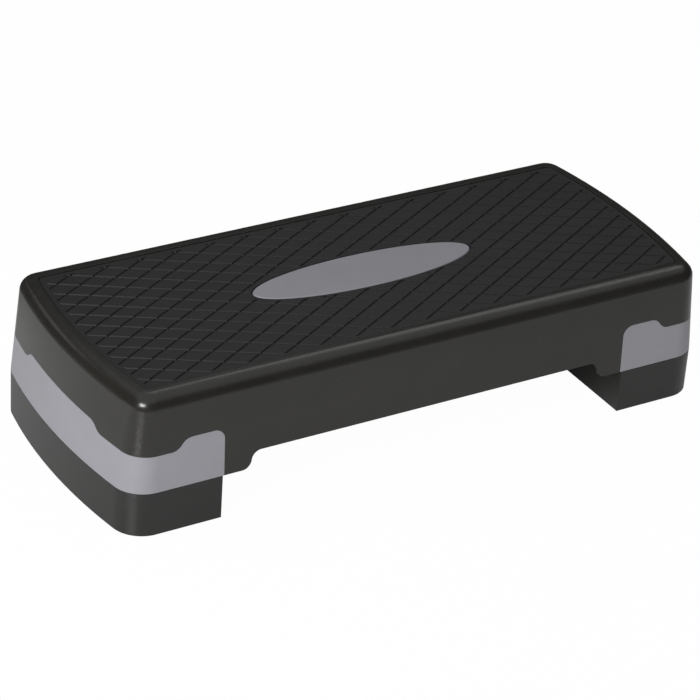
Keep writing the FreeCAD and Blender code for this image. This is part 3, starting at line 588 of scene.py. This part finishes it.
def screw(corners, head_profile, sizes):
    """A screw with its head down: a head with a cross recess, a threaded shank and a tapered tip.

    The thread's radius falls by thread_depth as the cosine of the height's turn less the angle goes from 1
    to -1, which is a right-hand helix.
    """
    face_points, first_ring_share, tip_share = 26, 1 / 40, 0.35
    cross_length_share, cross_width_share = 0.58, 0.12
    low, high = corners
    head_radius, length = (high[0] - low[0]) / 2, high[2] - low[2]
    shank_radius = SHANK_RADIUS * MILLIMETRE
    turn = np.arange(sizes.screw_steps) * (2 * np.pi / sizes.screw_steps)
    steps = np.ones(sizes.screw_steps)
    head_radii, head_heights = np.array(head_profile).T * MILLIMETRE
    face_radii = np.linspace(head_radius * first_ring_share, head_radii[0], face_points)
    face_heights = head_heights[0] * (face_radii / head_radii[0]) ** 2
    across = np.concatenate([face_radii, head_radii[1:]])[:, None] * steps
    up = np.concatenate([face_heights, head_heights[1:]])[:, None] * steps
    up = up + cross_recess(across, turn, head_radius * cross_length_share, head_radius * cross_width_share,
                           sizes.recess_depth)
    rise = np.linspace(head_heights[-1], length, sizes.thread_rows)[:, None] * steps
    wave = (1.0 - np.cos(2 * np.pi * rise / sizes.thread_pitch - turn)) / 2
    start = np.clip((rise - head_heights[-1]) / sizes.thread_pitch, 0.0, 1.0)
    tip = np.clip((length - rise) / (2 * shank_radius) + tip_share, 0.0, 1.0)
    shank = (shank_radius - sizes.thread_depth * wave * start) * tip
    centre = np.array([(low[0] + high[0]) / 2, (low[1] + high[1]) / 2, low[2]])
    return turned_shape(centre, np.concatenate([across, shank]), np.concatenate([up, rise]),
                        (up[0].max(), length))


# Settings

class StepFinishes(bpy.types.PropertyGroup):
    """Colours and gloss of the platform's surfaces"""
    deck_colour: FloatVectorProperty(
        name="Deck", description="Colour of the moulded deck", subtype="COLOR",
        default=(0.0165, 0.0158, 0.0136), min=0.0, max=1.0)
    foot_colour: FloatVectorProperty(
        name="Feet", description="Colour of the riser feet", subtype="COLOR",
        default=(0.0150, 0.0148, 0.0138), min=0.0, max=1.0)
    edge_colour: FloatVectorProperty(
        name="Rubbed edges", description="Colour of the black plastic where its edges are rubbed",
        subtype="COLOR", default=(0.025, 0.0245, 0.023), min=0.0, max=1.0)
    tread_colour: FloatVectorProperty(
        name="Tread", description="Colour of the non-slip pad", subtype="COLOR",
        default=(0.0138, 0.0138, 0.0143), min=0.0, max=1.0)
    # Painted shade low in the tread's grooves
    groove_shade_colour: FloatVectorProperty(
        name="Grooves", description="Colour low in the grooves of the tread", subtype="COLOR",
        default=(0.0065, 0.0065, 0.0065), min=0.0, max=1.0)
    band_colour: FloatVectorProperty(
        name="Bands and inlay", description="Colour of the grey mouldings", subtype="COLOR",
        default=(0.276, 0.273, 0.300), min=0.0, max=1.0)
    band_edge_colour: FloatVectorProperty(
        name="Band edges", description="Colour of the grey plastic on its rubbed edges", subtype="COLOR",
        default=(0.36, 0.355, 0.38), min=0.0, max=1.0)
    pad_colour: FloatVectorProperty(
        name="Rubber pads", description="Colour of the pads and glides", subtype="COLOR",
        default=(0.020, 0.020, 0.020), min=0.0, max=1.0)
    steel_colour: FloatVectorProperty(
        name="Screws", description="Colour of the plated screws", subtype="COLOR",
        default=(0.55, 0.55, 0.56), min=0.0, max=1.0)
    deck_roughness: FloatProperty(
        name="Deck roughness", description="0 is a mirror and 1 is chalk", subtype="FACTOR",
        default=0.25, min=0.0, max=1.0)
    foot_roughness: FloatProperty(
        name="Foot roughness", description="0 is a mirror and 1 is chalk", subtype="FACTOR",
        default=0.38, min=0.0, max=1.0)
    tread_roughness: FloatProperty(
        name="Tread roughness", description="0 is a mirror and 1 is chalk", subtype="FACTOR",
        default=0.50, min=0.0, max=1.0)
    band_roughness: FloatProperty(
        name="Band roughness", description="0 is a mirror and 1 is chalk", subtype="FACTOR",
        default=0.42, min=0.0, max=1.0)
    deck_specular: FloatProperty(
        name="Deck reflection", description="Strength of the deck's reflections", subtype="FACTOR",
        default=0.50, min=0.0, max=1.0)
    foot_specular: FloatProperty(
        name="Foot reflection", description="Strength of the feet's reflections", subtype="FACTOR",
        default=0.44, min=0.0, max=1.0)
    tread_specular: FloatProperty(
        name="Tread reflection", description="Strength of the tread's reflections", subtype="FACTOR",
        default=0.36, min=0.0, max=1.0)
    band_specular: FloatProperty(
        name="Band reflection", description="Strength of the grey plastic's reflections", subtype="FACTOR",
        default=0.40, min=0.0, max=1.0)
    black_clouding: FloatProperty(
        name="Black clouding", description="How far the black plastic's tone varies", subtype="FACTOR",
        default=0.10, min=0.0, max=1.0)
    grey_clouding: FloatProperty(
        name="Grey clouding", description="How far the grey plastic's tone varies", subtype="FACTOR",
        default=0.03, min=0.0, max=1.0)
    grain: FloatProperty(
        name="Grain height", description="How deep the moulded grain is", unit="LENGTH",
        default=0.03 * MILLIMETRE, min=0.0)


class StepSizes(bpy.types.PropertyGroup):
    """Sizes of the small pieces that are modelled in detail"""
    pad_rings: IntProperty(
        name="Pad rings", description="Number of rings moulded in a pad's underside", default=5, min=0)
    ring_depth: FloatProperty(
        name="Ring depth", description="How deep the rings are", unit="LENGTH",
        default=0.5 * MILLIMETRE, min=0.0)
    pad_edge: FloatProperty(
        name="Pad edge", description="Radius of a pad's edges", unit="LENGTH",
        default=0.4 * MILLIMETRE, min=0.0)
    pad_steps: IntProperty(
        name="Pad steps", description="Number of faces round a pad", default=72, min=8)
    recess_depth: FloatProperty(
        name="Recess depth", description="How deep the cross in a screw's head is", unit="LENGTH",
        default=1.3 * MILLIMETRE, min=0.0)
    thread_pitch: FloatProperty(
        name="Thread pitch", description="Rise of a screw's thread in one turn", unit="LENGTH",
        default=1.3 * MILLIMETRE, min=0.0)
    thread_depth: FloatProperty(
        name="Thread depth", description="How far the thread is cut into the shank", unit="LENGTH",
        default=0.35 * MILLIMETRE, min=0.0)
    thread_rows: IntProperty(
        name="Thread rows", description="Number of rings of points along a shank", default=72, min=2)
    screw_steps: IntProperty(
        name="Screw steps", description="Number of faces round a screw", default=64, min=8)


class StepView(bpy.types.PropertyGroup):
    """Camera and room light of the studio"""
    azimuth: FloatProperty(
        name="Azimuth", description="Camera's turn about the upright axis from the front", subtype="ANGLE",
        default=-32.48 * DEGREE)
    elevation: FloatProperty(
        name="Elevation", description="Camera's height above the horizon", subtype="ANGLE",
        default=30.17 * DEGREE)
    roll: FloatProperty(
        name="Roll", description="Camera's turn about its own line of sight", subtype="ANGLE",
        default=4.04 * DEGREE)
    distance: FloatProperty(
        name="Distance", description="From the camera to the point it looks at", unit="LENGTH", default=2.963)
    aim: FloatVectorProperty(
        name="Aim", description="Point that the camera looks at", subtype="TRANSLATION", unit="LENGTH",
        default=(0.0060, 0.0233, 0.0407))
    lens: FloatProperty(
        name="Lens", description="Focal length on a 36 mm wide sensor, in millimetres", default=149.2)
    high_light: FloatProperty(
        name="Light overhead", description="Brightness of the room overhead", default=0.68, min=0.0)
    low_light: FloatProperty(
        name="Light all round", description="Brightness of the room near the horizon", default=0.06, min=0.0)


def direction(azimuth, elevation):
    """The unit vector towards an azimuth and elevation: azimuth 0 is the front, -Y, and 90 degrees is +X."""
    return Vector((math.sin(azimuth) * math.cos(elevation), -math.cos(azimuth) * math.cos(elevation),
                   math.sin(elevation)))


# Operators

class StepPiece:
    """What the operators share: they can be undone"""
    bl_options = {"REGISTER", "UNDO"}


class STEP_OT_dress_deck(StepPiece, bpy.types.Operator):
    """Gives the deck and its lattice their moulded plastic"""
    bl_idname = "step.dress_deck"
    bl_label = "Deck"

    def execute(self, context):
        look = context.scene.step_finishes
        dress(DECK_NODES, moulded_plastic("deck_plastic", look.deck_colour, look.edge_colour,
                                          look.deck_roughness, look.deck_specular, look.grain,
                                          look.black_clouding))
        return {"FINISHED"}


class STEP_OT_dress_feet(StepPiece, bpy.types.Operator):
    """Gives the riser feet their moulded plastic"""
    bl_idname = "step.dress_feet"
    bl_label = "Feet"

    def execute(self, context):
        look = context.scene.step_finishes
        dress(FOOT_NODES, moulded_plastic("foot_plastic", look.foot_colour, look.edge_colour,
                                          look.foot_roughness, look.foot_specular, look.grain,
                                          look.black_clouding))
        return {"FINISHED"}


class STEP_OT_dress_tread(StepPiece, bpy.types.Operator):
    """Gives the tread pad its non-slip surface"""
    bl_idname = "step.dress_tread"
    bl_label = "Tread"

    def execute(self, context):
        look = context.scene.step_finishes
        dress(["tread_pad"], tread_rubber("tread_rubber", look.tread_colour, look.groove_shade_colour,
                                          look.tread_roughness, look.tread_specular))
        return {"FINISHED"}


class STEP_OT_dress_bands(StepPiece, bpy.types.Operator):
    """Gives the end bands and the oval inlay their grey plastic"""
    bl_idname = "step.dress_bands"
    bl_label = "Bands and inlay"

    def execute(self, context):
        look = context.scene.step_finishes
        dress(GREY_NODES, moulded_plastic("grey_plastic", look.band_colour, look.band_edge_colour,
                                          look.band_roughness, look.band_specular, look.grain,
                                          look.grey_clouding))
        return {"FINISHED"}


class STEP_OT_make_pads(StepPiece, bpy.types.Operator):
    """Makes the ribbed rubber pads under the feet and the glides under the deck"""
    bl_idname = "step.make_pads"
    bl_label = "Rubber pads"

    def execute(self, context):
        sizes = context.scene.step_sizes
        rubber = pad_rubber("pad_rubber", context.scene.step_finishes.pad_colour)
        for nodes, profile in ((FOOT_PADS, PAD_PROFILE), (GLIDES, GLIDE_PROFILE)):
            for node in nodes:
                shape = push_in_pad(node, sizes=sizes, **profile)
                stand_for(mesh_piece(f"{node}_ribbed", [shape], rubber), node)
        return {"FINISHED"}


class STEP_OT_make_screws(StepPiece, bpy.types.Operator):
    """Makes the plated screws of the inlay and of the bands"""
    bl_idname = "step.make_screws"
    bl_label = "Screws"

    def execute(self, context):
        sizes = context.scene.step_sizes
        steel = zinc_steel("zinc_steel", context.scene.step_finishes.steel_colour)
        for nodes, head in ((["inlay_screws"], FLANGE_HEAD), (BAND_SCREWS, SUNK_HEAD)):
            for node in nodes:
                shapes = [screw(corners, head, sizes) for corners in loose_parts(node)]
                stand_for(mesh_piece(f"{node}_threaded", shapes, steel), node)
        return {"FINISHED"}


class STEP_OT_set_stage(StepPiece, bpy.types.Operator):
    """Sets up the floor, the lamps, the room light and the camera"""
    bl_idname = "step.set_stage"
    bl_label = "Stage"

    def execute(self, context):
        scene = context.scene
        scene.view_settings.view_transform = "Standard"
        self.make_floor()
        for name, lamp in LAMPS.items():
            self.make_lamp(name, **lamp)
        self.make_room(scene, scene.step_view)
        self.make_camera(scene, scene.step_view)
        return {"FINISHED"}

    def make_floor(self):
        """A flat square floor just under the pads, as a grid of points."""
        half, count, drop = 30.0, 3, 0.1 * MILLIMETRE
        x, y = np.meshgrid(np.linspace(-half, half, count), np.linspace(-half, half, count))
        points = np.stack([x, y, np.full_like(x, -drop)], axis=-1).reshape(-1, 3)
        corner = (np.arange(count - 1)[:, None] * count + np.arange(count - 1)).reshape(-1)
        quads = np.stack([corner, corner + 1, corner + count + 1, corner + count], axis=1)
        no_triangles = np.empty((0, 3), dtype=int)
        mesh_piece("floor", [(points, quads, no_triangles)], floor_white("floor_white"))

    def make_lamp(self, name, azimuth, elevation, distance, width, height, brightness):
        """A rectangular lamp that looks at the object. Its power is brightness times pi times its area."""
        light = bpy.data.lights.new(name, "AREA")
        light.shape = "RECTANGLE"
        light.size = width
        light.size_y = height
        light.energy = brightness * math.pi * width * height
        lamp = bpy.data.objects.new(name, light)
        away = direction(azimuth * DEGREE, elevation * DEGREE)
        lamp.location = Vector((0.0, 0.0, CAD_BOX[1][2] / 2)) + away * distance
        lamp.rotation_euler = away.to_track_quat("Z", "Y").to_euler()
        lamp.visible_camera = False
        bpy.context.scene.collection.objects.link(lamp)

    def make_room(self, scene, view):
        """A room that is dim near the horizon and lighter overhead, and white where the camera sees it."""
        dim_below, light_above = 32 * DEGREE, 58 * DEGREE
        world = bpy.data.worlds.new("room")
        world.use_nodes = True
        shader = Shader(world.node_tree)
        way = shader.add("ShaderNodeTexCoord", output="Generated")
        overhead = shader.smooth_step(shader.along(way, "Z"), math.sin(dim_below), math.sin(light_above))
        camera_ray = shader.add("ShaderNodeLightPath", output="Is Camera Ray")
        room = view.low_light + overhead * (view.high_light - view.low_light)
        strength = shader.math("MAXIMUM", camera_ray, room)
        light = shader.add("ShaderNodeBackground", {}, {"Color": WHITE, "Strength": strength})
        shader.add("ShaderNodeOutputWorld", {}, {"Surface": light})
        scene.world = world

    def make_camera(self, scene, view):
        """Looks at the aim point from an azimuth and elevation, rolled about the line of sight."""
        back = direction(view.azimuth, view.elevation)
        level = Vector((math.cos(view.azimuth), math.sin(view.azimuth), 0.0))
        upright = back.cross(level)
        right = level * math.cos(view.roll) + upright * math.sin(view.roll)
        up = upright * math.cos(view.roll) - level * math.sin(view.roll)
        camera = bpy.data.objects.new("camera", bpy.data.cameras.new("camera"))
        camera.data.sensor_width = SENSOR_WIDTH
        camera.data.lens = view.lens
        turn = Matrix((right, up, back)).transposed().to_4x4()
        camera.matrix_world = Matrix.Translation(Vector(view.aim) + back * view.distance) @ turn
        scene.collection.objects.link(camera)
        scene.camera = camera


class STEP_PT_panel(bpy.types.Panel):
    """Lists the platform's pieces and settings"""
    bl_idname = "STEP_PT_panel"
    bl_label = "Step platform"
    bl_space_type = "VIEW_3D"
    bl_region_type = "UI"
    bl_category = "Step"

    def draw(self, context):
        for operator in OPERATORS:
            self.layout.operator(operator.bl_idname)
        scene = context.scene
        for settings in (scene.step_finishes, scene.step_sizes, scene.step_view):
            box = self.layout.box()
            for name in settings.__annotations__:
                box.prop(settings, name)


OPERATORS = (STEP_OT_dress_deck, STEP_OT_dress_feet, STEP_OT_dress_tread, STEP_OT_dress_bands,
             STEP_OT_make_pads, STEP_OT_make_screws, STEP_OT_set_stage)
CLASSES = (StepFinishes, StepSizes, StepView, *OPERATORS, STEP_PT_panel)


def register():
    for item in CLASSES:
        bpy.utils.register_class(item)
    bpy.types.Scene.step_finishes = PointerProperty(type=StepFinishes)
    bpy.types.Scene.step_sizes = PointerProperty(type=StepSizes)
    bpy.types.Scene.step_view = PointerProperty(type=StepView)


def unregister():
    del bpy.types.Scene.step_view
    del bpy.types.Scene.step_sizes
    del bpy.types.Scene.step_finishes
    for item in reversed(CLASSES):
        bpy.utils.unregister_class(item)


def main():
    """Registers the add-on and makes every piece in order."""
    register()
    bpy.ops.step.dress_deck()
    bpy.ops.step.dress_feet()
    bpy.ops.step.dress_tread()
    bpy.ops.step.dress_bands()
    bpy.ops.step.make_pads()
    bpy.ops.step.make_screws()
    bpy.ops.step.set_stage()


if __name__ == "__main__":
    main()
